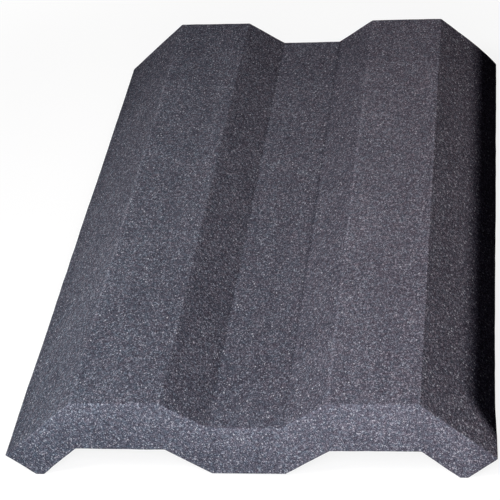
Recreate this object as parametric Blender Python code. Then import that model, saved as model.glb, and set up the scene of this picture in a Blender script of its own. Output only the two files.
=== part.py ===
"""Acoustic absorption panel: a contour-cut foam slab with its self-adhesive mounting pads.

Metres, +Z up. The panel lies as it would against a wall, with the wall as the plane z = 0.
X runs across the folds, Y along them, and the origin is the middle of the panel on that plane.
"""

import math

import bmesh
import bpy
from mathutils import Matrix

# Foam slab, along the folds and across them from the middle outwards
LENGTH = 1.000
VALLEY_FLAT = 0.090
INNER_SLOPE_RUN = 0.055
RIDGE_FLAT = 0.110
END_SLOPE_RUN = 0.090

# Foam slab, heights: the wire cuts both faces to one outline, so its thickness is measured upright
THICKNESS = 0.070
VALLEY_DEPTH = 0.0365

# The two long side edges and the narrow lands that they stand on
SIDE_CUT_ANGLE = math.radians(40.0)
FOOT_LAND = 0.010
CREASE_REACH = 0.003
CREASE_SEGMENTS = 3

# Mounting pads under the valley, each with the paper that covers its lower face
PAD_COUNT = 5
PAD_LENGTH = 0.060
PAD_THICKNESS = 0.0025
PAD_SIDE_MARGIN = 0.015
PAD_END_MARGIN = 0.070
PAD_CORNER = 0.006
CORNER_SEGMENTS = 6
LINER_THICKNESS = 0.0004
TAB_WIDTH = 0.022
TAB_REACH = 0.010
TAB_CORNER = 0.004
GAP = 0.0003

# Places that follow from the sizes above
VALLEY_X = VALLEY_FLAT / 2
RIDGE_IN_X = VALLEY_X + INNER_SLOPE_RUN
RIDGE_OUT_X = RIDGE_IN_X + RIDGE_FLAT
SIDE_X = RIDGE_OUT_X + END_SLOPE_RUN
PAD_BOTTOM_Z = LINER_THICKNESS + GAP
PAD_TOP_Z = PAD_BOTTOM_Z + PAD_THICKNESS
VALLEY_UNDER_Z = PAD_TOP_Z + GAP
VALLEY_TOP_Z = VALLEY_UNDER_Z + THICKNESS
RIDGE_UNDER_Z = VALLEY_UNDER_Z + VALLEY_DEPTH
RIDGE_TOP_Z = RIDGE_UNDER_Z + THICKNESS
PAD_WIDTH = VALLEY_FLAT - 2 * PAD_SIDE_MARGIN
PAD_PITCH = (LENGTH - 2 * PAD_END_MARGIN - PAD_LENGTH) / (PAD_COUNT - 1)


def clear_scene():
    for obj in list(bpy.data.objects):
        bpy.data.objects.remove(obj, do_unlink=True)


def make_material(name, color, roughness):
    material = bpy.data.materials.new(name)
    material.use_nodes = True
    shader = material.node_tree.nodes["Principled BSDF"]
    shader.inputs["Base Color"].default_value = (*color, 1.0)
    shader.inputs["Roughness"].default_value = roughness
    shader.inputs["Metallic"].default_value = 0.0
    return material


def add_object(name, bm, material):
    bmesh.ops.recalc_face_normals(bm, faces=bm.faces)
    mesh = bpy.data.meshes.new(name)
    bm.to_mesh(mesh)
    bm.free()
    mesh.materials.append(material)
    obj = bpy.data.objects.new(name, mesh)
    bpy.context.scene.collection.objects.link(obj)
    return obj


def extrude_outline(bm, outline, direction):
    """Close the outline with a face and pull that face out into a solid."""
    face = bm.faces.new([bm.verts.new(point) for point in outline])
    pulled = bmesh.ops.extrude_face_region(bm, geom=[face])["geom"]
    moved = [item for item in pulled if isinstance(item, bmesh.types.BMVert)]
    bmesh.ops.translate(bm, verts=moved, vec=direction)


def end_slope():
    """Fall per run of the outer slopes, at which the side edge ends in a land of FOOT_LAND on z = 0.

    The land lies between the slope's underside and the side cut. Its width grows with the fall,
    which gives a quadratic with one positive root.
    """
    cut = math.tan(SIDE_CUT_ANGLE)
    square = END_SLOPE_RUN / cut
    linear = END_SLOPE_RUN - RIDGE_TOP_Z / cut - FOOT_LAND
    return (-linear + math.sqrt(linear ** 2 + 4 * square * RIDGE_UNDER_Z)) / (2 * square)


def slab_outline():
    """Section across the folds, from the right foot round over the top and back underneath."""
    fall = end_slope()
    side_top_z = RIDGE_TOP_Z - fall * END_SLOPE_RUN
    foot_in_x = RIDGE_OUT_X + RIDGE_UNDER_Z / fall
    right_top = [
        (foot_in_x + FOOT_LAND, 0.0),
        (SIDE_X, side_top_z),
        (RIDGE_OUT_X, RIDGE_TOP_Z),
        (RIDGE_IN_X, RIDGE_TOP_Z),
        (VALLEY_X, VALLEY_TOP_Z),
    ]
    right_under = [
        (VALLEY_X, VALLEY_UNDER_Z),
        (RIDGE_IN_X, RIDGE_UNDER_Z),
        (RIDGE_OUT_X, RIDGE_UNDER_Z),
        (foot_in_x, 0.0),
    ]
    left_top = [(-x, z) for x, z in reversed(right_top)]
    left_under = [(-x, z) for x, z in reversed(right_under)]
    return right_top + left_top + left_under + right_under


def is_fold(edge):
    """True for the long folds of both faces, and false for the sharp edges that the side cuts leave."""
    start, end = (vert.co for vert in edge.verts)
    runs_along = abs(start.y - end.y) > LENGTH / 2
    inside_sides = abs(start.x) < RIDGE_OUT_X + END_SLOPE_RUN / 4
    return runs_along and inside_sides


def build_foam_panel(material):
    bm = bmesh.new()
    outline = [(x, -LENGTH / 2, z) for x, z in slab_outline()]
    extrude_outline(bm, outline, (0.0, LENGTH, 0.0))
    folds = [edge for edge in bm.edges if is_fold(edge)]
    bmesh.ops.bevel(
        bm, geom=folds, offset=CREASE_REACH, offset_type="OFFSET",
        segments=CREASE_SEGMENTS, profile=0.5, affect="EDGES",
    )
    add_object("foam_panel", bm, material)


def plate(bm, width, length, corner, bottom_z, thickness, center_x=0.0):
    """Flat plate with round corners, from bottom_z upwards."""
    created = bmesh.ops.create_cube(bm, size=1.0)["verts"]
    bmesh.ops.scale(bm, vec=(width, length, thickness), verts=created)
    bmesh.ops.translate(bm, vec=(center_x, 0.0, bottom_z + thickness / 2), verts=created)
    upright = {edge for vert in created for edge in vert.link_edges
               if edge.verts[0].co.xy == edge.verts[1].co.xy}
    bmesh.ops.bevel(
        bm, geom=list(upright), offset=corner, offset_type="OFFSET",
        segments=CORNER_SEGMENTS, profile=0.5, affect="EDGES",
    )


def arc(center, radius, start, end):
    steps = [start + (end - start) * step / CORNER_SEGMENTS for step in range(CORNER_SEGMENTS + 1)]
    return [(center[0] + radius * math.cos(turn), center[1] + radius * math.sin(turn)) for turn in steps]


def liner_outline():
    """Plan of the release paper: the pad's own outline with a round-ended lift tab on its +X side."""
    half_x = PAD_WIDTH / 2
    half_y = PAD_LENGTH / 2
    inner_x = half_x - PAD_CORNER
    inner_y = half_y - PAD_CORNER
    tab_x = half_x + TAB_REACH
    tab_y = TAB_WIDTH / 2
    quarter = math.pi / 2
    tab = [(half_x, -tab_y)]
    tab += arc((tab_x - TAB_CORNER, -tab_y + TAB_CORNER), TAB_CORNER, -quarter, 0.0)
    tab += arc((tab_x - TAB_CORNER, tab_y - TAB_CORNER), TAB_CORNER, 0.0, quarter)
    tab += [(half_x, tab_y)]
    corners = arc((inner_x, inner_y), PAD_CORNER, 0.0, quarter)
    corners += arc((-inner_x, inner_y), PAD_CORNER, quarter, 2 * quarter)
    corners += arc((-inner_x, -inner_y), PAD_CORNER, 2 * quarter, 3 * quarter)
    corners += arc((inner_x, -inner_y), PAD_CORNER, 3 * quarter, 4 * quarter)
    return tab + corners


def pad_mesh():
    bm = bmesh.new()
    plate(bm, PAD_WIDTH, PAD_LENGTH, PAD_CORNER, PAD_BOTTOM_Z, PAD_THICKNESS)
    return bm


def liner_mesh():
    bm = bmesh.new()
    extrude_outline(bm, [(x, y, 0.0) for x, y in liner_outline()], (0.0, 0.0, LINER_THICKNESS))
    return bm


def build_mounting_pads(pad_material, liner_material):
    first_y = -LENGTH / 2 + PAD_END_MARGIN + PAD_LENGTH / 2
    for index in range(PAD_COUNT):
        place = Matrix.Translation((0.0, first_y + index * PAD_PITCH, 0.0))
        pad = add_object(f"mounting_pad_{index + 1}", pad_mesh(), pad_material)
        pad.matrix_world = place
        liner = add_object(f"release_liner_{index + 1}", liner_mesh(), liner_material)
        liner.matrix_world = place


def main():
    clear_scene()
    foam = make_material("charcoal_open_cell_foam", (0.105, 0.100, 0.120), 0.95)
    pad_foam = make_material("white_adhesive_pad_foam", (0.72, 0.72, 0.70), 0.80)
    liner_paper = make_material("yellow_release_paper", (0.66, 0.55, 0.30), 0.55)
    build_foam_panel(foam)
    build_mounting_pads(pad_foam, liner_paper)


main()
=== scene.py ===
"""Looks of the acoustic absorption panel: foam slab, mounting pads, release films and the studio.

Metres, +Z up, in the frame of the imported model. The panel lies on z = 0 with its folds along Y.
"""

import math

import bpy
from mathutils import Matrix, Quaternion, Vector, noise


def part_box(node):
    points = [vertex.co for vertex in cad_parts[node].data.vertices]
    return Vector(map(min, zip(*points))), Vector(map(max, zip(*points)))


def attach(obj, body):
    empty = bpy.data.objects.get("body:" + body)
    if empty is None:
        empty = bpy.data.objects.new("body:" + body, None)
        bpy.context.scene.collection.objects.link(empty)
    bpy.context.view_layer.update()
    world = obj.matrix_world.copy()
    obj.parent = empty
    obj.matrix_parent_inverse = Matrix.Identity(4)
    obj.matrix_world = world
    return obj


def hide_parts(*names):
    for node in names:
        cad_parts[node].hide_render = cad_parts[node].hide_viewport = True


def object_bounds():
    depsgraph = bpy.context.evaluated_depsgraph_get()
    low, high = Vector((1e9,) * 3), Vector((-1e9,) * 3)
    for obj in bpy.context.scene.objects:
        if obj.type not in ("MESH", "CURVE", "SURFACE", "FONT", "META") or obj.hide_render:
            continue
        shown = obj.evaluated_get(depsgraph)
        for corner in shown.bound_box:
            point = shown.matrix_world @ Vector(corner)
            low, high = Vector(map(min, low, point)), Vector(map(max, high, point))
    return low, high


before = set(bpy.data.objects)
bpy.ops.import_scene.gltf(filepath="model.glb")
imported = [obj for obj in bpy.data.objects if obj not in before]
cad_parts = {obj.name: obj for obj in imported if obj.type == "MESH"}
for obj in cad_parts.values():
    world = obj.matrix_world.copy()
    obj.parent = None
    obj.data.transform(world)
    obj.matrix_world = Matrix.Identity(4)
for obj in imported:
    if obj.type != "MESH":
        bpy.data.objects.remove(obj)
cad_low, cad_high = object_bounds()

# Half width and half length of the panel
SIDE_X = cad_high[0]
END_Y = cad_high[1]

# Section of the slab from the middle outwards, as the solid has it
VALLEY_X = 0.045
RIDGE_IN_X = 0.100
RIDGE_OUT_X = 0.210
THICKNESS = 0.070
VALLEY_DEPTH = 0.0365
SIDE_CUT_ANGLE = math.radians(40.0)
FOOT_LAND = 0.010

# How finely the slab is meshed, and how soft its folds and cut edges are
STEP = 0.005
LAND_STEPS = 2
LAYERS = 14
LENGTH_CUTS = (99, 1)
FOLD_REACH = 0.0010
FOLD_SEGMENTS = 3
CUT_EDGE = 0.0012
CUT_EDGE_SEGMENTS = 2
SHARP_EDGE = math.radians(30.0)

# Unevenness of the foam: a slow wave of the whole face and a finer one, both gone at the wall plane
WAVE_SIZE = 0.16
WAVE_HEIGHT = 0.0009
RIPPLE_SIZE = 0.022
RIPPLE_HEIGHT = 0.00035
STILL_Z = 0.004
FREE_Z = 0.012

# The right side's upper edge is worn round along the panel, though not at the near end
WORN_FROM_X = 0.262
WORN_DROP = 0.0050
WORN_DEPTH = 0.045
WORN_START_Y = -0.50
WORN_FULL_Y = -0.38

# Tape foam pads under the valley, which are narrower at half height and at the rims of their two faces
PAD_COUNT = 5
PAD_CORNER = 0.006
PAD_LEVELS = 6
PAD_WAIST = 0.0004
PAD_RIM = 0.0005
CORNER_STEPS = 6

# Lift tab of the film on each pad's lower face, and how near to its root or tip a point counts as there
TAB_REACH = 0.010
TAB_WIDTH = 0.022
TAB_CORNER = 0.004
TAB_LIFT = 0.0012
TAB_CUTS = 5
TAB_NEAR = 0.0005

# Camera, fitted to the corners of the outline and of the folds in the photograph
CAMERA_PLACE = Vector((0.3148, -2.2656, 1.4951))
CAMERA_AIM = Vector((-0.0385, -0.0924, 0.0600))
CAMERA_ROLL = math.radians(-5.48)
CAMERA_SIGHT = 100.0
LENS_MM = 137.5
SENSOR_MM = 36.0


def deselect_all():
    bpy.ops.object.select_all(action="DESELECT")


def select_where(obj, test, kind="VERT"):
    """In edit mode, selects the vertices or edges that pass the test, and nothing else."""
    bpy.ops.mesh.select_mode(type=kind)
    bpy.ops.mesh.select_all(action="DESELECT")
    bpy.ops.object.mode_set(mode="OBJECT")
    mesh = obj.data
    if kind == "VERT":
        for vert in mesh.vertices:
            vert.select = test(vert.co)
    else:
        for edge in mesh.edges:
            edge.select = test(*(mesh.vertices[index].co for index in edge.vertices))
    bpy.ops.object.mode_set(mode="EDIT")


def finish_edit():
    """Turns all faces outwards and leaves edit mode."""
    bpy.ops.mesh.select_all(action="SELECT")
    bpy.ops.mesh.normals_make_consistent(inside=False)
    bpy.ops.object.mode_set(mode="OBJECT")


def smooth_ramp(value, low, high):
    share = min(max((value - low) / (high - low), 0.0), 1.0)
    return share * share * (3.0 - 2.0 * share)


# Foam slab


def ridge_top():
    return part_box("foam_panel")[1][2]


def outer_fall():
    """Fall of the outer slopes per metre across, which leaves the foot land its width at the wall."""
    side_x, _, ridge_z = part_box("foam_panel")[1]
    run = side_x - RIDGE_OUT_X
    cut = math.tan(SIDE_CUT_ANGLE)
    square = run / cut
    linear = run - ridge_z / cut - FOOT_LAND
    return (-linear + math.sqrt(linear ** 2 + 4 * square * (ridge_z - THICKNESS))) / (2 * square)


def slab_corners():
    """Corners of the upper and of the lower outline, from -X to +X, at the near end."""
    low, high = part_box("foam_panel")
    side_x, near_y, ridge_z = high[0], low[1], high[2]
    under_z = ridge_z - THICKNESS
    foot_in_x = RIDGE_OUT_X + under_z / outer_fall()
    middle = [(RIDGE_OUT_X, 0.0), (RIDGE_IN_X, 0.0), (VALLEY_X, -VALLEY_DEPTH)]
    upper = [(side_x, -outer_fall() * (side_x - RIDGE_OUT_X))] + middle
    lower = [(foot_in_x + FOOT_LAND, -under_z), (foot_in_x, -under_z)] + middle

    def both_sides(right_half, top_z):
        left = [Vector((-x, near_y, top_z + z)) for x, z in right_half]
        right = [Vector((x, near_y, top_z + z)) for x, z in reversed(right_half)]
        return left + right

    return both_sides(upper, ridge_z), both_sides(lower, under_z)


def draw_outline(corners):
    """Draws the line from corner to corner with extruded vertices, as with a pen."""
    bpy.ops.mesh.select_mode(type="VERT")
    bpy.ops.mesh.select_all(action="DESELECT")
    bpy.ops.mesh.primitive_plane_add(size=STEP, location=corners[0])
    bpy.ops.mesh.merge(type="CENTER")
    for start, end in zip(corners, corners[1:]):
        bpy.ops.mesh.extrude_vertices_move(TRANSFORM_OT_translate={"value": end - start})


def divide_run(obj, start, end, steps):
    """Cuts the straight stretch between two corners into steps."""
    middle = (start + end) / 2

    def is_the_run(a, b):
        return ((a + b) / 2 - middle).length < STEP / 2 and (a - b).length > FOLD_REACH

    select_where(obj, is_the_run, "EDGE")
    bpy.ops.mesh.subdivide(number_cuts=steps - 1)


def steps_between(start, end):
    return max(2, round((end - start).length / STEP))


def make_foam_slab():
    upper, lower = slab_corners()
    deselect_all()
    bpy.ops.mesh.primitive_plane_add(size=STEP, location=(0, 0, 0))
    slab = bpy.context.object
    slab.name = "foam_slab"
    bpy.ops.object.mode_set(mode="EDIT")
    bpy.ops.mesh.delete(type="VERT")
    draw_outline(upper)
    draw_outline(lower)

    folds = upper[1:-1] + lower[2:-2]
    select_where(slab, lambda co: any((co - fold).length < STEP / 4 for fold in folds))
    bpy.ops.mesh.bevel(offset=FOLD_REACH, segments=FOLD_SEGMENTS, affect="VERTICES")

    slope_steps = steps_between(upper[0], upper[1])
    for start, end in zip(upper, upper[1:]):
        divide_run(slab, start, end, steps_between(start, end))
    for start, end in zip(lower[1:-1], lower[2:-1]):
        is_slope = start == lower[1] or end == lower[-2]
        steps = slope_steps - LAND_STEPS if is_slope else steps_between(start, end)
        divide_run(slab, start, end, steps)
    for start, end in (lower[:2], lower[-2:]):
        divide_run(slab, start, end, LAND_STEPS)

    bpy.ops.mesh.select_all(action="SELECT")
    bpy.ops.mesh.bridge_edge_loops(number_cuts=LAYERS - 1, interpolation="LINEAR")
    bpy.ops.mesh.select_all(action="SELECT")
    near_y = upper[0].y
    bpy.ops.mesh.extrude_region_move(TRANSFORM_OT_translate={"value": (0, -2 * near_y, 0)})
    for cuts in LENGTH_CUTS:
        select_where(slab, lambda a, b: abs(a.y - b.y) > STEP, "EDGE")
        bpy.ops.mesh.subdivide(number_cuts=cuts)
    bpy.ops.mesh.select_all(action="SELECT")
    bpy.ops.mesh.normals_make_consistent(inside=False)
    bpy.ops.mesh.select_mode(type="EDGE")
    bpy.ops.mesh.select_all(action="DESELECT")
    bpy.ops.mesh.edges_select_sharp(sharpness=SHARP_EDGE)
    bpy.ops.mesh.bevel(offset=CUT_EDGE, segments=CUT_EDGE_SEGMENTS, affect="EDGES")
    bpy.ops.object.mode_set(mode="OBJECT")
    return slab


def make_uneven(slab):
    """Lets the faces wander as foam does when the cutting wire has passed through it."""
    mesh = slab.data
    shifts = []
    for vert in mesh.vertices:
        fade = smooth_ramp(vert.co.z, STILL_Z, FREE_Z)
        wave = noise.noise(vert.co / WAVE_SIZE) * WAVE_HEIGHT
        ripple = noise.noise(vert.co / RIPPLE_SIZE) * RIPPLE_HEIGHT
        shifts.append(vert.normal * (fade * (wave + ripple)))
    for vert, shift in zip(mesh.vertices, shifts):
        vert.co += shift
    mesh.shade_smooth()


def wear_right_edge(slab):
    """Rounds off the upper edge of the right side, less with the depth under the slope."""
    fold, corner = slab_corners()[0][-2:]
    down = (corner - fold).normalized()
    outward = Vector((-down.z, 0.0, down.x))
    start = fold + down * ((WORN_FROM_X - fold.x) / down.x)
    reach = (corner - start).length
    for vert in slab.data.vertices:
        offset = Vector((vert.co.x - start.x, 0.0, vert.co.z - start.z))
        along = offset.dot(down) / reach
        depth = -offset.dot(outward) / WORN_DEPTH
        if along > 0.0 and depth < 1.0:
            fade = smooth_ramp(vert.co.y, WORN_START_Y, WORN_FULL_Y) * (1.0 - max(depth, 0.0)) ** 2
            vert.co -= outward * (WORN_DROP * along ** 2 * fade)


# Mounting pads and release films


def start_rounded_square(name, centre, side):
    """A flat square with round corners, left open in edit mode."""
    deselect_all()
    bpy.ops.mesh.primitive_plane_add(size=side, location=centre)
    square = bpy.context.object
    square.name = name
    bpy.ops.object.transform_apply(location=True, rotation=True, scale=True)
    bpy.ops.object.mode_set(mode="EDIT")
    bpy.ops.mesh.select_all(action="SELECT")
    bpy.ops.mesh.bevel(offset=PAD_CORNER, segments=CORNER_STEPS, affect="VERTICES")
    return square


def make_mounting_pad(number):
    """Tape foam is squeezed as it is cut, so its sides draw in a little at half height."""
    low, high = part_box(f"mounting_pad_{number}")
    side = high[0] - low[0]
    centre = Vector(((low[0] + high[0]) / 2, (low[1] + high[1]) / 2, low[2]))
    width = side - 2 * PAD_RIM
    pad = start_rounded_square(f"tape_foam_pad_{number}", centre, width)
    rise = (high[2] - low[2]) / PAD_LEVELS
    for level in range(1, PAD_LEVELS + 1):
        bpy.ops.mesh.select_mode(type="FACE")
        bpy.ops.mesh.extrude_region_move(TRANSFORM_OT_translate={"value": (0, 0, rise)})
        share = level / PAD_LEVELS
        at_edge = 2 * PAD_RIM if level == PAD_LEVELS else 0.0
        new_width = side - 2 * PAD_WAIST * math.sin(math.pi * share) - at_edge
        factor = new_width / width
        bpy.ops.transform.resize(value=(factor, factor, 1), center_override=centre)
        width = new_width
    finish_edit()
    bpy.ops.object.shade_smooth_by_angle(angle=SHARP_EDGE)
    return pad


def make_release_film(number):
    """The film has the pad's outline, and a tab at one side that stands off the wall a little."""
    low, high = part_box(f"release_liner_{number}")
    middle_y = (low[1] + high[1]) / 2
    tab_x = high[0] - TAB_REACH
    side = tab_x - low[0]
    film = start_rounded_square(f"release_film_{number}", (low[0] + side / 2, middle_y, low[2]), side)
    for y in (middle_y - TAB_WIDTH / 2, middle_y + TAB_WIDTH / 2):
        bpy.ops.mesh.select_all(action="SELECT")
        bpy.ops.mesh.bisect(plane_co=(0, y, 0), plane_no=(0, 1, 0))

    def on_tab_root(a, b):
        return min(a.x, b.x) > tab_x - TAB_NEAR and abs((a.y + b.y) / 2 - middle_y) < TAB_CORNER

    select_where(film, on_tab_root, "EDGE")
    bpy.ops.mesh.extrude_edges_move(TRANSFORM_OT_translate={"value": (TAB_REACH, 0, 0)})
    select_where(film, lambda co: co.x > high[0] - TAB_NEAR)
    bpy.ops.mesh.bevel(offset=TAB_CORNER, segments=CORNER_STEPS, affect="VERTICES")
    for cut in range(1, TAB_CUTS + 1):
        x = tab_x + TAB_REACH * cut / (TAB_CUTS + 1)
        bpy.ops.mesh.select_all(action="SELECT")
        bpy.ops.mesh.bisect(plane_co=(x, 0, 0), plane_no=(1, 0, 0))
    bpy.ops.mesh.select_all(action="SELECT")
    bpy.ops.mesh.extrude_region_move(TRANSFORM_OT_translate={"value": (0, 0, high[2] - low[2])})
    finish_edit()
    for vert in film.data.vertices:
        vert.co.z += TAB_LIFT * smooth_ramp(vert.co.x, tab_x, high[0]) ** 2
    bpy.ops.object.shade_smooth_by_angle(angle=SHARP_EDGE)
    return film


# Nodes that the finishes share


# How softly one face's tone gives way to the next, and which share of a stroke fades at each end
SOFT_LINE = 0.001
STROKE_FADE = 0.25


def new_material(name):
    material = bpy.data.materials.new(name)
    material.use_nodes = True
    tree = material.node_tree
    return material, tree, tree.nodes["Principled BSDF"]


def add(tree, kind, inputs=None, **settings):
    """Adds a node, sets its choices, and gives each named or numbered input a link or a value."""
    node = tree.nodes.new(kind)
    for key, value in settings.items():
        setattr(node, key, value)
    for key, value in (inputs or {}).items():
        if isinstance(value, bpy.types.NodeSocket):
            tree.links.new(value, node.inputs[key])
        else:
            node.inputs[key].default_value = value
    return node


def object_place(tree):
    return add(tree, "ShaderNodeTexCoord").outputs["Object"]


def calc(tree, operation, first, second=0.0, third=0.0):
    node = add(tree, "ShaderNodeMath", {0: first, 1: second, 2: third}, operation=operation)
    return node.outputs[0]


def plus_times(tree, start, value, factor):
    """The start plus the value times the factor."""
    return calc(tree, "MULTIPLY_ADD", value, factor, start)


def one_plus(tree, share, amount):
    """1 where the share is 0, and 1 plus the amount where it is 1."""
    return plus_times(tree, 1.0, share, amount)


def only_where(tree, share, tone):
    """The tone where the share is 1, and no change where it is 0."""
    return one_plus(tree, share, calc(tree, "SUBTRACT", tone, 1.0))


def product(tree, *factors):
    result = factors[0]
    for factor in factors[1:]:
        result = calc(tree, "MULTIPLY", result, factor)
    return result


def remap(tree, value, low, high, to_low, to_high):
    """A smooth ramp: to_low up to where the value is low, and to_high from where it is high."""
    node = add(tree, "ShaderNodeMapRange", {
        "Value": value, "From Min": low, "From Max": high, "To Min": to_low, "To Max": to_high,
    }, interpolation_type="SMOOTHSTEP")
    return node.outputs["Result"]


def past(tree, value, start, full):
    """0 up to the start, then up to 1 where the value is full."""
    return remap(tree, value, start, full, 0.0, 1.0)


def beside(tree, value, line, reach):
    """1 on the line, down to 0 at the reach on either side."""
    away = calc(tree, "ABSOLUTE", calc(tree, "SUBTRACT", value, line))
    return remap(tree, away, 0.0, reach, 1.0, 0.0)


def between(tree, value, low, high):
    """1 between low and high, 0 outside, with soft ends."""
    above_low = past(tree, value, low - SOFT_LINE, low + SOFT_LINE)
    below_high = past(tree, value, high + SOFT_LINE, high - SOFT_LINE)
    return product(tree, above_low, below_high)


def noise_of(tree, place, scale, detail=2.0, roughness=0.6):
    node = add(tree, "ShaderNodeTexNoise", {
        "Vector": place, "Scale": scale, "Detail": detail, "Roughness": roughness,
    })
    return node.outputs["Fac"]


def stretched(tree, vector, scale):
    """The vector with each part scaled by itself, such as the place for a pattern that runs one way."""
    node = add(tree, "ShaderNodeVectorMath", {0: vector, 1: scale}, operation="MULTIPLY")
    return node.outputs["Vector"]


def cells_of(tree, place, scale):
    return add(tree, "ShaderNodeTexVoronoi", {"Vector": place, "Scale": scale}).outputs


def cell_value(tree, cells, channel):
    """A number from 0 to 1 that is the same all over a cell and differs from cell to cell."""
    return add(tree, "ShaderNodeSeparateColor", {0: cells["Color"]}).outputs[channel]


def tint(tree, color, factor):
    """A colour multiplied by a grey factor that may pass 1."""
    node = add(tree, "ShaderNodeVectorMath", {0: color, "Scale": factor}, operation="SCALE")
    return node.outputs["Vector"]


def stand_out(tree, shader, height, strength, distance):
    """Gives the surface a fine relief from the height."""
    bump = add(tree, "ShaderNodeBump", {"Height": height, "Strength": strength, "Distance": distance})
    tree.links.new(bump.outputs["Normal"], shader.inputs["Normal"])


def from_line(tree, x, y, start, across, along):
    """The distance from the start in a direction given by its two parts."""
    from_x = calc(tree, "MULTIPLY", calc(tree, "SUBTRACT", x, start[0]), across)
    return plus_times(tree, from_x, calc(tree, "SUBTRACT", y, start[1]), along)


def stroke(tree, x, y, start, end, reach):
    """1 on the straight stroke, down to 0 at the reach on either side and at its two ends."""
    length = math.hypot(end[0] - start[0], end[1] - start[1])
    across, along = (end[0] - start[0]) / length, (end[1] - start[1]) / length
    travel = from_line(tree, x, y, start, across, along)
    aside = from_line(tree, x, y, start, -along, across)
    fade = STROKE_FADE * length
    ends = product(tree, past(tree, travel, 0.0, fade), past(tree, travel, length, length - fade))
    return product(tree, beside(tree, aside, 0.0, reach), ends)


# Foam colours: cool at the near left corner, warm at the far right one, a difference that is partly the
# painted colour of the light; and the pale colour of painted glints on a cut cell's wall
COOL_FOAM = (0.0945, 0.1021, 0.1320)
WARM_FOAM = (0.1146, 0.1023, 0.1297)
GLINT_COLOR = (0.80, 0.80, 0.845)

# Power of the tone in the blue channel, which changes less than red and green do
BLUE_POWER = 0.925

# Foam patterns, per metre: cells that are longer along the panel, wire lines along it, and broken folds
CELL_FORM = (1.0, 0.62, 0.85)
CELLS_PER_METRE = 900.0
POCKETS_PER_METRE = 300.0
FINE_PER_METRE = 1500.0
UNEVEN_PER_METRE = 900.0
MOTTLE_PER_METRE = 14.0
DYE_PER_METRE = 170.0
RAGGED_PER_METRE = 60.0
WIRE_FORM = (90.0, 1.6, 90.0)
FOLD_FORM = (8.0, 26.0, 8.0)

# Ramps of the foam's grain: the pattern's value at either end, then the tone there
PORE = (0.15, 0.75, 0.30, 1.40)
FINE_GRAIN = (0.3, 0.7, 0.5, 1.5)
POCKET = (0.05, 0.60, 1.35, 0.75)
BRIGHT_SPECK = (0.65, 1.0, 0.0, 1.2)
MOTTLE = (0.3, 0.7, 0.93, 1.07)
WIRE_LINES = (0.3, 0.7, 0.95, 1.05)
DYE_TONE = (0.3, 0.7, 0.90, 1.10)
BROKEN_FOLD = (0.35, 0.62, 0.65, 1.0)

# Tone of a plain cell and height of its walls: the least, and what the cell's own value adds
SPECK_LEAST = 0.55
SPECK_SPAN = 0.9
PIT_LEAST = 0.6
PIT_SPAN = 0.8

# Contrast of the cells' grain, and what each place adds to that; more on the right slope and left bank
# is painted light for the relief that grazing light picks out
GRAIN_POWER = 0.81
RIGHT_SLOPE_POWER = 0.14
LEFT_BANK_POWER = 0.08
END_POWER = -0.02

# Faint painted glints: which cells have one, how far it reaches in the cell, and how strong it is
FAINT_CELLS = (0.87, 0.97)
FAINT_CORE = (0.25, 0.6, 1.0, 0.0)
FAINT_SHINE = 0.45

# Bright painted glints: which pockets have one, how far it reaches, its strength, and more on the right
# slope
BRIGHT_POCKETS = (0.895, 0.945)
BRIGHT_CORE = (0.29, 0.15)
TOP_SHINE = 0.74
END_SHINE = 0.36
RIGHT_MORE_POCKETS = 0.08
RIGHT_WIDER_CORE = -0.05

# Roughness of the foam and of its glints, and the relief of its cells as strength and depth
FOAM_ROUGHNESS = 0.95
GLINT_ROUGHNESS = 0.55
FOAM_RELIEF = (0.4, 0.0008)

# Depth under the upper face that still belongs to it, and how near to the end the cut face begins
TOP_DEPTH = (0.030, 0.020)
END_BEGINS = 0.0020
END_FULL = 0.0004

# Long faces, from X to X, with their tone of painted light and shade at the near Y and at the far Y
FACES = (
    (-SIDE_X, -RIDGE_OUT_X, 1.23, 0.95),
    (-RIDGE_OUT_X, -RIDGE_IN_X, 1.06, 1.07),
    (-RIDGE_IN_X, -VALLEY_X, 1.00, 1.02),
    (-VALLEY_X, VALLEY_X, 0.96, 1.01),
    (VALLEY_X, RIDGE_IN_X, 1.07, 0.94),
    (RIDGE_IN_X, RIDGE_OUT_X, 1.27, 1.20),
    (RIDGE_OUT_X, SIDE_X, 1.23, 1.08),
)
FACE_NEAR_Y = -0.45
FACE_FAR_Y = 0.30

# The left edge is darker, and a broad painted highlight leaves the faces palest a little past the
# middle of the length
LEFT_EDGE = (-0.276, -0.290)
LEFT_EDGE_TONE = -0.20
MIDDLE_FROM_NEAR = (-0.50, 0.06)
MIDDLE_FROM_FAR = (0.50, 0.24)
ENDS_TONE = 0.94
MIDDLE_TONE = 1.13

# Where along the panel a fold's line fades out, as Y and strength or only as Y
LESS_FAR = (-0.10, 0.45, 1.0, 0.5)
NEAR_ONLY = (0.10, -0.30)
NOT_FAR = (0.30, 0.05)

# Warmth, partly the painted colour of the light, cool where the key falls and warmer in shade: how far
# across it changes and how slanting, and what each place and the dye add to it
WARM_ACROSS = 0.40
WARM_SLANT = 0.2
FAR_LEFT_X = (-0.19, -0.23)
FAR_LEFT_Y = (-0.45, 0.0)
FAR_LEFT_WARMTH = 0.12
LEFT_BANK_WARMTH = 0.16
RIGHT_SLOPE_WARMTH = 0.12
END_COOLER = -0.22
DYE_HUE = 3.3

# Darker streaks on the ridges and a pale scratch on the right slope: start, end, reach and tone of each
STROKES = (
    ((-0.128, 0.260), (-0.156, -0.060), 0.013, -0.09),
    ((-0.155, 0.060), (-0.156, -0.370), 0.013, -0.08),
    ((0.118, -0.094), (0.206, -0.020), 0.009, -0.06),
    ((0.232, 0.352), (0.249, 0.410), 0.0016, 0.70),
)

# The left ridge and the left slope are darker at their far end
FAR_DARK_Y = (0.282, 0.296)
FAR_DARK_X = (-0.10, -0.11)
FAR_DARK_TONE = -0.06
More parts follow.
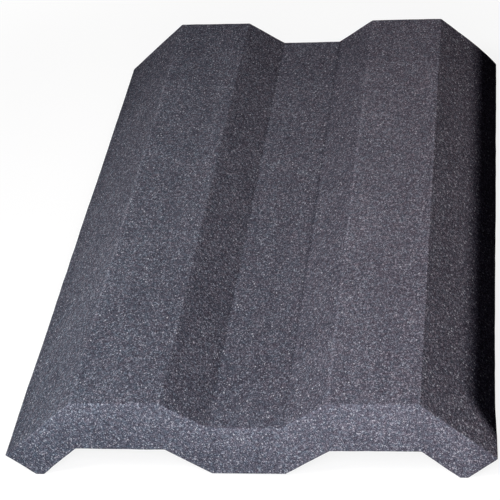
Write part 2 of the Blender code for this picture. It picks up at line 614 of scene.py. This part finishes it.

# Cut ends: a pale rim at the upper edge, which is a painted highlight, paler above than below at the
# left, and darker tips
RIM_DEPTH = (0.0065, 0.0005)
RIM_TONE = 0.13
DOWNWARD = (0.0, 0.055, 0.12, -0.08)
DOWNWARD_FADES = (-0.02, 0.10)
DOWNWARD_LESS = -0.7
TIPS = (0.262, 0.294)
TIPS_TONE = -0.24

# Cut ends: a dark stripe under the left valley fold, and tones from X to full X, the brighter right
# part of which is painted light
STRIPE_X = -0.041
STRIPE_REACH = 0.018
STRIPE_TONE = -0.13
END_STEPS = (
    (-0.030, -0.046, -0.06),
    (-0.02, 0.14, 0.18),
    (0.18, 0.21, -0.05),
)

# Painted shade: a dark band on the rounded right edge: its border, how that wanders, and its tone by
# depth
BAND_X = (0.2550, 0.2900)
BAND_WANDER = 0.006
BAND_NARROWS_Y = (-0.410, -0.485)
BAND_NARROWS = -0.042
BAND_DEPTH = (0.006, 0.040, 0.05, 0.5)


# Foam


def upper_face_height(tree, x):
    """Height of the upper face at each distance from the middle line."""
    across = calc(tree, "ABSOLUTE", x)
    ridge_z = ridge_top()
    bank_slope = VALLEY_DEPTH / (RIDGE_IN_X - VALLEY_X)
    bank = plus_times(tree, ridge_z, calc(tree, "SUBTRACT", across, RIDGE_IN_X), bank_slope)
    side = plus_times(tree, ridge_z, calc(tree, "SUBTRACT", across, RIDGE_OUT_X), -outer_fall())
    inside = calc(tree, "MAXIMUM", calc(tree, "MINIMUM", bank, ridge_z), ridge_z - VALLEY_DEPTH)
    return calc(tree, "MINIMUM", inside, side)


def face_tone(tree, x, y):
    """Each long face has a tone of painted light and shade, which changes along the panel; the left
    edge is darker, and a painted highlight lies a little past the middle.
    """
    tones = []
    for low, high, near, far in FACES:
        along = remap(tree, y, FACE_NEAR_Y, FACE_FAR_Y, near - 1.0, far - 1.0)
        tones.append(one_plus(tree, between(tree, x, low, high), along))
    left_edge = one_plus(tree, past(tree, x, *LEFT_EDGE), LEFT_EDGE_TONE)
    middle = product(tree, past(tree, y, *MIDDLE_FROM_NEAR), past(tree, y, *MIDDLE_FROM_FAR))
    return product(tree, left_edge, remap(tree, middle, 0.0, 1.0, ENDS_TONE, MIDDLE_TONE), *tones)


def fold_tone(tree, place, x, y):
    """Painted highlights where cut cells catch the light along the ridge folds, and painted shade in a
    dark line along the valley folds.
    """
    broken = remap(tree, noise_of(tree, stretched(tree, place, FOLD_FORM), 1.0), *BROKEN_FOLD)
    less_far = remap(tree, y, *LESS_FAR)
    near_only = past(tree, y, *NEAR_ONLY)
    not_far = past(tree, y, *NOT_FAR)

    # X of each line, its reach, its tone, and where along the panel it shows
    lines = (
        (-RIDGE_OUT_X + 0.0006, 0.0032, 0.46, less_far),
        (-RIDGE_IN_X - 0.0004, 0.0028, 0.16, near_only),
        (RIDGE_IN_X + 0.0004, 0.0032, 0.42, less_far),
        (RIDGE_OUT_X - 0.0012, 0.0028, 0.20, not_far),
        (VALLEY_X + 0.0006, 0.0034, -0.34, 1.0),
        (-VALLEY_X, 0.0034, -0.22, broken),
    )
    tones = []
    for line, reach, amount, share in lines:
        tones.append(one_plus(tree, product(tree, beside(tree, x, line, reach), share, broken), amount))
    return product(tree, *tones)


def stroke_and_far_tone(tree, x, y):
    """The darker streaks on the ridges, the scratch on the right slope, and the darker far end at the
    left.
    """
    tones = []
    for start, end, reach, amount in STROKES:
        tones.append(one_plus(tree, stroke(tree, x, y, start, end, reach), amount))
    darker_far = product(tree, past(tree, y, *FAR_DARK_Y), past(tree, x, *FAR_DARK_X))
    return product(tree, *tones, one_plus(tree, darker_far, FAR_DARK_TONE))


def end_tone(tree, x, depth):
    """The cut ends have a pale rim at the upper edge as a painted highlight, a dark stripe, steps in
    tone with painted light on the right part, and dark tips.
    """
    less_right = one_plus(tree, past(tree, x, *DOWNWARD_FADES), DOWNWARD_LESS)
    tips = past(tree, calc(tree, "ABSOLUTE", x), *TIPS)
    steps = [one_plus(tree, past(tree, x, start, full), amount) for start, full, amount in END_STEPS]
    return product(
        tree,
        one_plus(tree, past(tree, depth, *RIM_DEPTH), RIM_TONE),
        one_plus(tree, remap(tree, depth, *DOWNWARD), less_right),
        one_plus(tree, beside(tree, x, STRIPE_X, STRIPE_REACH), STRIPE_TONE),
        one_plus(tree, tips, TIPS_TONE),
        *steps,
    )


def band_shade_tone(tree, place, x, y, depth):
    """Painted shade: a dark band on the rounded right edge, which narrows at the near end and fades
    deeper under the edge.
    """
    ragged = plus_times(tree, x, noise_of(tree, place, RAGGED_PER_METRE), BAND_WANDER)
    narrowed = plus_times(tree, ragged, past(tree, y, *BAND_NARROWS_Y), BAND_NARROWS)
    still_pale = one_plus(tree, past(tree, narrowed, *BAND_X), -1.0)
    less_below = remap(tree, depth, *BAND_DEPTH)
    return calc(tree, "MAXIMUM", product(tree, still_pale, still_pale), less_below)


def warmth(tree, x, y, dye, left_bank, right_slope, on_end):
    """0 at the cool near left corner and 1 at the far right one, as painted colour of the light; more
    on the shaded left bank and right slope as painted warm shade, more at the far left, less on the cut
    ends, and patchy with the dye.
    """
    across = add(tree, "ShaderNodeMapRange", {
        "Value": plus_times(tree, x, y, WARM_SLANT), "From Min": -WARM_ACROSS, "From Max": WARM_ACROSS,
    }).outputs["Result"]
    far_left = product(tree, past(tree, x, *FAR_LEFT_X), past(tree, y, *FAR_LEFT_Y))
    painted_warmth = plus_times(tree, across, far_left, FAR_LEFT_WARMTH)
    painted_warmth = plus_times(tree, painted_warmth, left_bank, LEFT_BANK_WARMTH)
    painted_warmth = plus_times(tree, painted_warmth, right_slope, RIGHT_SLOPE_WARMTH)
    patchy = calc(tree, "MULTIPLY", calc(tree, "SUBTRACT", 0.5, dye), DYE_HUE)
    return calc(tree, "ADD", product(tree, painted_warmth, one_plus(tree, on_end, END_COOLER)), patchy)


def grain_power(tree, left_bank, right_slope, on_end):
    """The grain has most contrast on the right slope, as painted light for grazing light on its relief,
    more on the left bank, and least on the cut ends.
    """
    power = plus_times(tree, GRAIN_POWER, right_slope, RIGHT_SLOPE_POWER)
    power = plus_times(tree, power, left_bank, LEFT_BANK_POWER)
    return plus_times(tree, power, on_end, END_POWER)


def glints(tree, cells, cell_tone, pockets, right_slope, on_end):
    """Painted glints: faint ones in many cells, and a few bright ones where a whole cell wall faces up.
    """
    core = remap(tree, cells["Distance"], *FAINT_CORE)
    faint = product(tree, past(tree, cell_tone, *FAINT_CELLS), core, FAINT_SHINE)
    open_pocket = plus_times(tree, cell_value(tree, pockets, 1), right_slope, RIGHT_MORE_POCKETS)
    off_centre = plus_times(tree, pockets["Distance"], right_slope, RIGHT_WIDER_CORE)
    shine = remap(tree, on_end, 0.0, 1.0, TOP_SHINE, END_SHINE)
    bright = product(
        tree, past(tree, open_pocket, *BRIGHT_POCKETS), past(tree, off_centre, *BRIGHT_CORE), shine)
    return calc(tree, "MAXIMUM", faint, bright)


def foam_material():
    """Charcoal open-cell foam: dark pores, pale cell walls, marks of dye, wire and blade, and painted
    light and shade: glints, fold lines, face tones and a dark band.
    """
    material, tree, shader = new_material("charcoal_open_cell_foam")
    place = object_place(tree)
    x, y, z = add(tree, "ShaderNodeSeparateXYZ", {0: place}).outputs
    grown = stretched(tree, place, CELL_FORM)
    cells = cells_of(tree, grown, CELLS_PER_METRE)
    cell_tone = cell_value(tree, cells, 0)
    pockets = cells_of(tree, grown, POCKETS_PER_METRE)
    broad = noise_of(tree, place, MOTTLE_PER_METRE, detail=3.0, roughness=0.55)
    dye = noise_of(tree, place, DYE_PER_METRE, detail=3.0)
    wire = noise_of(tree, stretched(tree, place, WIRE_FORM), 1.0, detail=3.0)

    # Where on the slab a point is
    depth = calc(tree, "SUBTRACT", upper_face_height(tree, x), z)
    on_end = past(tree, calc(tree, "ABSOLUTE", y), END_Y - END_BEGINS, END_Y - END_FULL)
    off_end = calc(tree, "SUBTRACT", 1.0, on_end)
    top = product(tree, off_end, past(tree, depth, *TOP_DEPTH))
    right_slope = product(tree, top, past(tree, x, RIDGE_OUT_X - SOFT_LINE, RIDGE_OUT_X + SOFT_LINE))
    left_bank = product(tree, top, between(tree, x, -RIDGE_IN_X, -VALLEY_X))

    # Brightness
    pore = remap(tree, cells["Distance"], *PORE)
    plain_speck = plus_times(tree, SPECK_LEAST, cell_tone, SPECK_SPAN)
    speck = calc(tree, "ADD", plain_speck, remap(tree, cell_tone, *BRIGHT_SPECK))
    grain = remap(tree, noise_of(tree, grown, FINE_PER_METRE), *FINE_GRAIN)
    pocket = remap(tree, pockets["Distance"], *POCKET)
    # More grain contrast on the right slope and left bank: painted light of grazing light on the relief
    power = grain_power(tree, left_bank, right_slope, on_end)
    texture = calc(tree, "POWER", product(tree, pore, speck, grain, pocket), power)
    # Painted light and shade on the upper faces: face tones, highlights on the ridge folds and dark
    # lines in the valley folds; and darker streaks
    marks = product(tree, face_tone(tree, x, y), fold_tone(tree, place, x, y), stroke_and_far_tone(tree, x, y))
    # Painted shade: the dark band along the right edge, kept off the cut ends
    painted_band = only_where(tree, off_end, band_shade_tone(tree, place, x, y, depth))
    # The cut ends' pale rim is a painted highlight, and the brighter right part of them painted light
    tone = product(
        tree, texture,
        remap(tree, broad, *MOTTLE),
        remap(tree, wire, *WIRE_LINES),
        remap(tree, dye, *DYE_TONE),
        only_where(tree, top, marks),
        only_where(tree, on_end, end_tone(tree, x, depth)),
        painted_band,
    )

    # Colour
    # Painted colour of the light: cooler at the near left, warmer at the far right and on the shaded
    # faces
    hue = add(tree, "ShaderNodeMix", {
        0: warmth(tree, x, y, dye, left_bank, right_slope, on_end),
        6: (*COOL_FOAM, 1.0),
        7: (*WARM_FOAM, 1.0),
    }, data_type="RGBA", clamp_factor=False).outputs[2]
    blue_tone = calc(tree, "POWER", tone, BLUE_POWER)
    spread = add(tree, "ShaderNodeCombineXYZ", {0: tone, 1: tone, 2: blue_tone}).outputs[0]
    base = stretched(tree, hue, spread)
    # Painted glints, held back in the painted dark band
    glint = product(tree, glints(tree, cells, cell_tone, pockets, right_slope, on_end), painted_band)
    color = add(tree, "ShaderNodeMix", {0: glint, 6: base, 7: (*GLINT_COLOR, 1.0)}, data_type="RGBA")
    tree.links.new(color.outputs[2], shader.inputs["Base Color"])

    # Relief and gloss
    pits = product(tree, pore, grain, plus_times(tree, PIT_LEAST, cell_tone, PIT_SPAN))
    height = calc(tree, "ADD", noise_of(tree, place, UNEVEN_PER_METRE, detail=1.0, roughness=0.5), pits)
    stand_out(tree, shader, height, *FOAM_RELIEF)
    roughness = remap(tree, glint, 0.0, 1.0, FOAM_ROUGHNESS, GLINT_ROUGHNESS)
    tree.links.new(roughness, shader.inputs["Roughness"])
    shader.inputs["Specular IOR Level"].default_value = 0.0
    return material


# Tape foam of the pads: its colour, shut cells, grey cast from handling, roughness, relief and gloss
PAD_COLOR = (0.70, 0.70, 0.68)
PAD_CELLS_PER_METRE = 1400.0
PAD_HANDLED_PER_METRE = 45.0
PAD_DIMPLE = (0.0, 0.7, 0.86, 1.04)
PAD_CAST = (0.3, 0.75, 1.02, 0.86)
PAD_ROUGHNESS = (0.3, 0.7, 0.72, 0.88)
PAD_RELIEF = (0.5, 0.0002)
PAD_SPECULAR = 0.35


def pad_material():
    """White closed-cell tape foam: fine shut cells, and a faint grey cast where it was handled."""
    material, tree, shader = new_material("white_tape_foam")
    place = object_place(tree)
    cells = cells_of(tree, place, PAD_CELLS_PER_METRE)["Distance"]
    handled = noise_of(tree, place, PAD_HANDLED_PER_METRE, detail=3.0, roughness=0.55)
    tone = product(tree, remap(tree, cells, *PAD_DIMPLE), remap(tree, handled, *PAD_CAST))
    tree.links.new(tint(tree, PAD_COLOR, tone), shader.inputs["Base Color"])
    stand_out(tree, shader, cells, *PAD_RELIEF)
    tree.links.new(remap(tree, handled, *PAD_ROUGHNESS), shader.inputs["Roughness"])
    shader.inputs["Specular IOR Level"].default_value = PAD_SPECULAR
    return material


# Release film: its colour, fibres across the panel, ripples along it, rubbed spots and relief
FILM_COLOR = (0.74, 0.60, 0.30)
FIBRE_FORM = (320.0, 2600.0, 320.0)
RIPPLE_FORM = (55.0, 22.0, 55.0)
RUBBED_PER_METRE = 160.0
FIBRE_TONE = (0.3, 0.7, 0.90, 1.06)
RIPPLE_TONE = (0.3, 0.7, 0.95, 1.04)
FILM_ROUGHNESS = (0.35, 0.75, 0.30, 0.52)
RIPPLE_HIGH = 2.5
FIBRE_HIGH = 0.15
FILM_RELIEF = (0.6, 0.0004)


def film_material():
    """Amber siliconed film: fine fibres across the panel, slow ripples, and a satin gloss."""
    material, tree, shader = new_material("amber_release_film")
    place = object_place(tree)
    fibres = noise_of(tree, stretched(tree, place, FIBRE_FORM), 1.0, detail=3.0, roughness=0.65)
    ripples = noise_of(tree, stretched(tree, place, RIPPLE_FORM), 1.0, roughness=0.5)
    rubbed = noise_of(tree, place, RUBBED_PER_METRE, detail=4.0)
    tone = product(tree, remap(tree, fibres, *FIBRE_TONE), remap(tree, ripples, *RIPPLE_TONE))
    tree.links.new(tint(tree, FILM_COLOR, tone), shader.inputs["Base Color"])
    height = plus_times(tree, calc(tree, "MULTIPLY", fibres, FIBRE_HIGH), ripples, RIPPLE_HIGH)
    stand_out(tree, shader, height, *FILM_RELIEF)
    tree.links.new(remap(tree, rubbed, *FILM_ROUGHNESS), shader.inputs["Roughness"])
    return material


# Studio: lamps as name, place, size, watts and colour, all turned to one point over the panel's middle
LAMPS = (
    ("key_left", (-1.2, -1.2, 1.8), 0.8, 33.0, (1.0, 0.98, 0.98)),
    ("fill_front", (0.0, -1.3, 0.7), 0.8, 11.8, (0.965, 0.972, 1.0)),
    ("fill_back", (0.8, 2.6, 2.0), 1.6, 10.0, (1.0, 0.98, 0.955)),
)
LAMP_TARGET = (0.0, 0.0, 0.08)
WHITE = (1.0, 1.0, 1.0)
AMBIENT = 0.15

# Floor: its true grey, and for the camera a glow and some lamplight, which fade into the white backdrop
FLOOR_SIZE = 12.0
FLOOR_GREY = 0.8
FLOOR_GLOW = 0.84
FLOOR_LIT = 0.20
FADE_START = 0.6
FADE_END = 1.3


def aim(obj, place, target, roll=0.0):
    obj.location = place
    obj.rotation_mode = "QUATERNION"
    turn = (Vector(target) - Vector(place)).to_track_quat("-Z", "Y")
    obj.rotation_quaternion = turn @ Quaternion((0.0, 0.0, 1.0), roll)


def make_camera():
    data = bpy.data.cameras.new("camera")
    data.lens = LENS_MM
    data.sensor_width = SENSOR_MM
    data.clip_end = CAMERA_SIGHT
    camera = bpy.data.objects.new("camera", data)
    bpy.context.collection.objects.link(camera)
    aim(camera, CAMERA_PLACE, CAMERA_AIM, CAMERA_ROLL)
    bpy.context.scene.camera = camera


def make_softbox(name, place, size, watts, color):
    data = bpy.data.lights.new(name, "AREA")
    data.shape = "DISK"
    data.size = size
    data.energy = watts
    data.color = color
    lamp = bpy.data.objects.new(name, data)
    lamp.visible_camera = False
    bpy.context.collection.objects.link(lamp)
    aim(lamp, place, LAMP_TARGET)


def seen_directly(tree):
    """1 for rays that show the studio itself: straight from the camera, mirrored, or through glass."""
    rays = add(tree, "ShaderNodeLightPath").outputs
    both = calc(tree, "MAXIMUM", rays["Is Camera Ray"], rays["Is Glossy Ray"])
    return calc(tree, "MAXIMUM", both, rays["Is Transmission Ray"])


def make_world():
    """A dim even light on the object, which is plain white where the camera looks past it."""
    world = bpy.data.worlds.new("studio")
    bpy.context.scene.world = world
    world.use_nodes = True
    tree = world.node_tree
    background = tree.nodes["Background"]
    background.inputs["Color"].default_value = (*WHITE, 1.0)
    strength = remap(tree, seen_directly(tree), 0.0, 1.0, AMBIENT, 1.0)
    tree.links.new(strength, background.inputs["Strength"])


def make_floor():
    """A pale floor that keeps the panel's shadow, fades into white, and is clear from below."""
    bpy.ops.mesh.primitive_plane_add(size=FLOOR_SIZE, location=(0.0, 0.0, 0.0))
    floor = bpy.context.object
    floor.name = "floor"
    material, tree, shader = new_material("studio_floor")
    shader.inputs["Base Color"].default_value = (FLOOR_GREY, FLOOR_GREY, FLOOR_GREY, 1.0)
    shader.inputs["Roughness"].default_value = 1.0
    shader.inputs["Specular IOR Level"].default_value = 0.0
    output = tree.nodes["Material Output"]
    distance = add(tree, "ShaderNodeVectorMath", {0: object_place(tree)}, operation="LENGTH")
    fade = past(tree, distance.outputs["Value"], FADE_START, FADE_END)
    glow = add(tree, "ShaderNodeEmission", {
        "Color": (*WHITE, 1.0), "Strength": remap(tree, fade, 0.0, 1.0, FLOOR_GLOW, 1.0),
    }).outputs[0]
    lit = add(tree, "ShaderNodeBsdfDiffuse", {
        "Color": tint(tree, WHITE, remap(tree, fade, 0.0, 1.0, FLOOR_LIT, 0.0)),
    }).outputs[0]
    shown = add(tree, "ShaderNodeAddShader", {0: glow, 1: lit}).outputs[0]
    surface = add(tree, "ShaderNodeMixShader", {
        0: seen_directly(tree), 1: shader.outputs[0], 2: shown,
    }).outputs[0]
    from_below = add(tree, "ShaderNodeNewGeometry").outputs["Backfacing"]
    clear = add(tree, "ShaderNodeBsdfTransparent").outputs[0]
    either = add(tree, "ShaderNodeMixShader", {0: from_below, 1: surface, 2: clear}).outputs[0]
    tree.links.new(either, output.inputs["Surface"])
    floor.data.materials.append(material)


def make_studio():
    make_world()
    make_floor()
    for lamp in LAMPS:
        make_softbox(*lamp)


make_camera()
foam = make_foam_slab()
make_uneven(foam)
wear_right_edge(foam)
foam.data.materials.append(foam_material())
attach(foam, "root")
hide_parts("foam_panel")

tape_foam = pad_material()
amber_film = film_material()
for number in range(1, PAD_COUNT + 1):
    pad = make_mounting_pad(number)
    pad.data.materials.append(tape_foam)
    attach(pad, "root")
    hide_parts(f"mounting_pad_{number}")
    film = make_release_film(number)
    film.data.materials.append(amber_film)
    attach(film, "root")
    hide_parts(f"release_liner_{number}")

make_studio()
bpy.context.scene.view_settings.view_transform = "Standard"
